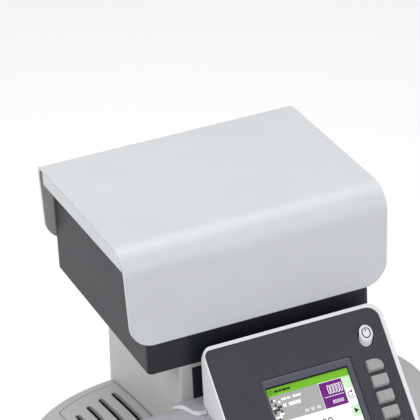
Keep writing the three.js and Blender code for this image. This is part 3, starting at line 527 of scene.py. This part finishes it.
def key_board():
    """The board under the fascia closes the gaps round the keys, with a rubber dome under each."""
    bm = bmesh.new()
    outline(bm, rounded(-48.5, 84.0, -134.5, -1.5, 4), -8.4, -7.6, 0, PANEL)
    spots = [(POWER["u"], POWER["v"])]
    spots += [(SOFT["u"], SOFT["v"] - SOFT["pitch"] * i) for i in range(SOFT["count"])]
    spots += [pad_middle(i) for i in range(len(PAD_NAMES))]
    for u, v in spots:
        turned(bm, [(3.4, -7.65), (2.4, -6.9), (1.5, -6.5)], (u, v, 0), "Z", 16, 1, PANEL)
    piece("key_board", bm, ["ink", "rubber"], slot="circuit_board")


key_board()


def figure(name, text, u, v, size, body, height):
    """A generic figure on a key, made from a text curve turned into a mesh."""
    curve = bpy.data.curves.new(name, "FONT")
    curve.body = text
    curve.size = size * MM
    curve.align_x = "CENTER"
    curve.align_y = "CENTER"
    curve.extrude = 0.06 * MM
    temp = bpy.data.objects.new(name + "_curve", curve)
    bpy.context.scene.collection.objects.link(temp)
    bpy.context.view_layer.update()
    mesh = bpy.data.meshes.new_from_object(temp.evaluated_get(bpy.context.evaluated_depsgraph_get()))
    bpy.data.objects.remove(temp)
    mesh.transform(PANEL @ Matrix.Translation(Vector((u, v, height)) * MM))
    mesh.materials.clear()
    mesh.materials.append(M["print"])
    made = bpy.data.objects.new(name, mesh)
    bpy.context.scene.collection.objects.link(made)
    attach(made, body)


def legends():
    """A figure on each number key, a cross on the clear key and a bent arrow on the enter key."""
    low, high = KEY_TOP - 0.02, KEY_TOP + 0.08
    arrow = [(-3.2, 0), (-1.0, 1.9), (-1.0, 0.45), (2.4, 0.45), (2.4, 2.0), (3.2, 2.0), (3.2, -0.45),
             (-1.0, -0.45), (-1.0, -1.9)]
    for i, name in enumerate(PAD_NAMES):
        node = "number_key_" + name
        u, v = pad_middle(i)
        v -= 0.15
        if name.isdigit():
            figure("figure_" + name, name, u, v, 6.4, node, KEY_TOP + 0.02)
            continue
        bm = bmesh.new()
        middle = PANEL @ Matrix.Translation(Vector((u, v, 0)) * MM)
        if name == "clear":
            for turn in (45, -45):
                spin = middle @ Matrix.Rotation(math.radians(turn), 4, "Z")
                outline(bm, rounded(-2.4, 2.4, -0.4, 0.4, 0.3, 2), low, high, 0, spin)
        else:
            outline(bm, arrow, low, high, 0, middle)
        piece("figure_" + name, bm, "print", node, "key_plastic", smooth=False)


legends()


# ---------------------------------------------------------------- hardware and small fittings
def screw(bm, centre, axis, radius=2.6, place=None, index=0, flip=1):
    """A countersunk head with a six-sided socket."""
    head = [(radius, 0), (radius, 0.5 * flip), (radius * 0.8, 0.9 * flip), (radius * 0.5, 0.95 * flip)]
    socket = [(radius * 0.42, 0.6 * flip), (radius * 0.42, 0.97 * flip)]
    turned(bm, head, centre, axis, 20, index, place)
    # The socket is a solid six-sided plug just proud of the head, in the finish after the head's; where
    # that finish is black it is painted shade in the socket recess.
    turned(bm, socket, centre, axis, 6, index + 1, place)


def back_details():
    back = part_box("body_cover")[1].y / MM
    # a blank rating plate, two data sockets and a grille low on the body's back wall
    bm = bmesh.new()
    stand = Matrix(((1, 0, 0, 0), (0, 0, 1, 0), (0, 1, 0, 0), (0, 0, 0, 1)))
    outline(bm, rounded(28, 66, 92, 116, 2), back + 0.02, back + 0.22, 0, stand)
    piece("rating_plate", bm, "label", slot="white_plastic", smooth=False)
    bm = bmesh.new()
    x = 14.0
    block(bm, x - 9, x + 9, back - 0.1, back + 0.5, 99, 116, 0)
    block(bm, x - 7, x - 0.5, back + 0.3, back + 0.62, 101, 107, 1)
    block(bm, x + 1.0, x + 7, back + 0.3, back + 0.62, 101, 107, 1)
    block(bm, x - 6, x + 6, back + 0.3, back + 0.62, 109.5, 113.5, 1)
    piece("data_sockets", bm, ["black", "steel"], slot="black_plastic", edge=0.15)
    # The grille is five black strips on the back wall where its slots would be: painted shade in the
    # slots.
    bm = bmesh.new()
    for i in range(5):
        z = 124 + 3.4 * i
        outline(bm, rounded(-40, 60, z, z + 1.6, 0.7, 3), back - 0.05, back + 0.12, 0, stand)
    piece("rear_grille_shade", bm, "black", slot="black_plastic", smooth=False)
    # screws in the scale housing's back, and screws and a blank label under the base
    bm = bmesh.new()
    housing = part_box("scale_housing")[1].y / MM
    for x in (-62, 82):
        for z in (262, 305):
            screw(bm, (x, housing - 0.3, z), "Y")
    piece("housing_screws", bm, ["steel", "black"], slot="steel")
    bm = bmesh.new()
    for x, y in ((0, -118), (0, 118), (-165, -50), (165, -50), (-165, 50), (165, 50)):
        screw(bm, (x, y, 6.3), "Z", 3.0, flip=-1)
    piece("base_screws", bm, ["steel", "black"], slot="steel")
    bm = bmesh.new()
    outline(bm, rounded(-45, 45, -30, 30, 3), 5.7, 5.98, 0)
    piece("base_label", bm, "label", slot="white_plastic", smooth=False)


back_details()


def deck_details():
    # raised runners on the letter deck, and an arrow that shows which way letters travel
    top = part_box("transport_plate")[1].z / MM
    bm = bmesh.new()
    for y in (-116, -106, -96, -88, -40):
        outline(bm, rounded(-130, 90, y - 1.0, y + 1.0, 0.95, 4), top - 0.3, top + 0.45)
    piece("deck_runners", bm, "steel", slot="steel", edge=0.25)
    bm = bmesh.new()
    deck = 80.0  # the top of the lower cover beside the deck plate
    arrow = [(118, -100), (132, -100), (132, -104), (141, -97.5), (132, -91), (132, -95), (118, -95)]
    outline(bm, arrow, deck - 0.02, deck + 0.15)
    piece("deck_arrow", bm, "print", slot="light_grey_plastic", smooth=False)


deck_details()


def inside_details():
    # the main board's chips with their pins, capacitors and sockets
    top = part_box("main_board")[1].z / MM
    chips = ((-20, 20, 14, 14, 2.2), (4, 24, 10, 18, 1.8), (24, 30, 9, 9, 2.0), (-18, 48, 20, 8, 1.8),
             (10, 56, 12, 12, 2.4), (28, 60, 8, 14, 1.8), (-22, 70, 9, 9, 2.0))
    bm = bmesh.new()
    for x, y, w, d, h in chips:
        block(bm, x - w / 2, x + w / 2, y - d / 2, y + d / 2, top, top + h, 0)
        for i in range(int(d // 2)):
            y0 = y - d / 2 + 0.8 + 2 * i
            block(bm, x - w / 2 - 1.2, x + w / 2 + 1.2, y0, y0 + 0.7, top, top + 0.5, 1)
    for x, y in ((-6, 36), (0, 42), (34, 46), (-8, 78), (18, 78)):
        turned(bm, [(3.6, top), (3.6, top + 8.4), (3.3, top + 8.8)], (x, y, 0), "Z", 18, 2)
    for y in (14, 86):
        block(bm, -26, -8, y - 2.6, y + 2.6, top, top + 6, 3)
    piece("board_parts", bm, ["black", "brass", "aluminium", "white"], slot="black_plastic", edge=0.12)
    # the power unit's case: louvres drawn as black strips, painted shade in the slots, and screws
    lo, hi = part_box("power_supply")
    x0, y0, x1, y1, z = lo.x / MM, lo.y / MM, hi.x / MM, hi.y / MM, hi.z / MM
    bm = bmesh.new()
    for i in range(9):
        y = y0 + 7 + 5 * i
        outline(bm, rounded(x0 + 8, x1 - 8, y, y + 2, 0.9, 3), z - 0.02, z + 0.25, 0)
    for x in (x0 + 4, x1 - 4):
        for y in (y0 + 4, y1 - 4):
            screw(bm, (x, y, z - 0.1), "Z", 1.9, index=0)
    piece("power_unit_louvre_shade", bm, ["black", "steel"], slot="steel")
    # cartridge: a blank label and finger ribs on the grip
    lo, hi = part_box("ink_cartridge")
    x0, x1, face = lo.x / MM, hi.x / MM, -lo.y / MM
    towards_front = Matrix(((1, 0, 0, 0), (0, 0, -1, 0), (0, 1, 0, 0), (0, 0, 0, 1)))
    bm = bmesh.new()
    outline(bm, rounded(x0 + 3, x1 - 3, 116, 142, 2), face - 0.02, face + 0.15, 0, towards_front)
    for i in range(4):
        z0 = 150.6 + 1.1 * i
        block(bm, -80.25, -69.75, -69.2, -48.8, z0, z0 + 0.5, 1)
    piece("cartridge_trim", bm, ["label", "rubber"], "cartridge", "black_plastic", edge=0.08)
    # screws in the print frame
    bm = bmesh.new()
    for x in (-112, -20, 20, 84):
        for y in (-78, -33):
            screw(bm, (x, y, 111.9), "Z", 2.2)
    piece("frame_screws", bm, ["steel", "black"], slot="steel")


inside_details()


# ---------------------------------------------------------------- floor, light and camera
def stage():
    bm = bmesh.new()
    reach = 40.0
    corners = ((-1, -1), (1, -1), (1, 1), (-1, 1))
    verts = [bm.verts.new((x * reach, y * reach, 0)) for x, y in corners]
    bm.faces.new(verts)
    mesh = bpy.data.meshes.new("floor")
    bm.to_mesh(mesh)
    bm.free()
    mesh.materials.append(material("floor", (0.93, 0.93, 0.93), 0.9, grain=0.02, mottle=0.004,
                                   cloud=400))
    floor = bpy.data.objects.new("floor", mesh)
    bpy.context.scene.collection.objects.link(floor)

    world = bpy.data.worlds.new("studio")
    world.use_nodes = True
    world.node_tree.nodes["Background"].inputs["Color"].default_value = (1, 1, 1, 1)
    world.node_tree.nodes["Background"].inputs["Strength"].default_value = 0.56
    bpy.context.scene.world = world

    def lamp(name, spot, aim, size, power):
        data = bpy.data.lights.new(name, "AREA")
        data.shape = "RECTANGLE"
        data.size, data.size_y = size
        data.energy = power
        made = bpy.data.objects.new(name, data)
        bpy.context.scene.collection.objects.link(made)
        made.location = spot
        made.rotation_euler = (Vector(aim) - Vector(spot)).to_track_quat("-Z", "Y").to_euler()

    lamp("top", (0.1, 0.3, 2.2), (0, 0, 0.2), (1.6, 1.6), 22)
    lamp("left", (-2.0, 0.0, 1.4), (0, 0, 0.2), (1.4, 1.4), 18)
    lamp("front", (0.5, -2.2, 1.1), (0, 0, 0.2), (1.4, 1.2), 13)


def camera():
    """Turned 22.7 degrees to the right and 28.1 degrees down, with a slight roll, through a long lens."""
    yaw, pitch, roll = math.radians(22.678), math.radians(28.079), math.radians(-3.2406)
    ahead = Vector((math.sin(yaw) * math.cos(pitch), math.cos(yaw) * math.cos(pitch), -math.sin(pitch)))
    right = Vector((math.cos(yaw), -math.sin(yaw), 0))
    up = right.cross(ahead)
    right_rolled = right * math.cos(roll) + up * math.sin(roll)
    up_rolled = up * math.cos(roll) - right * math.sin(roll)
    data = bpy.data.cameras.new("camera")
    data.sensor_width = 36
    data.lens = 233.96
    data.clip_start = 0.05
    data.clip_end = 200
    made = bpy.data.objects.new("camera", data)
    bpy.context.scene.collection.objects.link(made)
    made.matrix_world = Matrix.Translation((-0.66788, -1.56294, 1.23916)) @ Matrix((
        right_rolled, up_rolled, -ahead)).transposed().to_4x4()
    bpy.context.scene.camera = made


stage()
camera()
bpy.context.scene.view_settings.view_transform = "Standard"
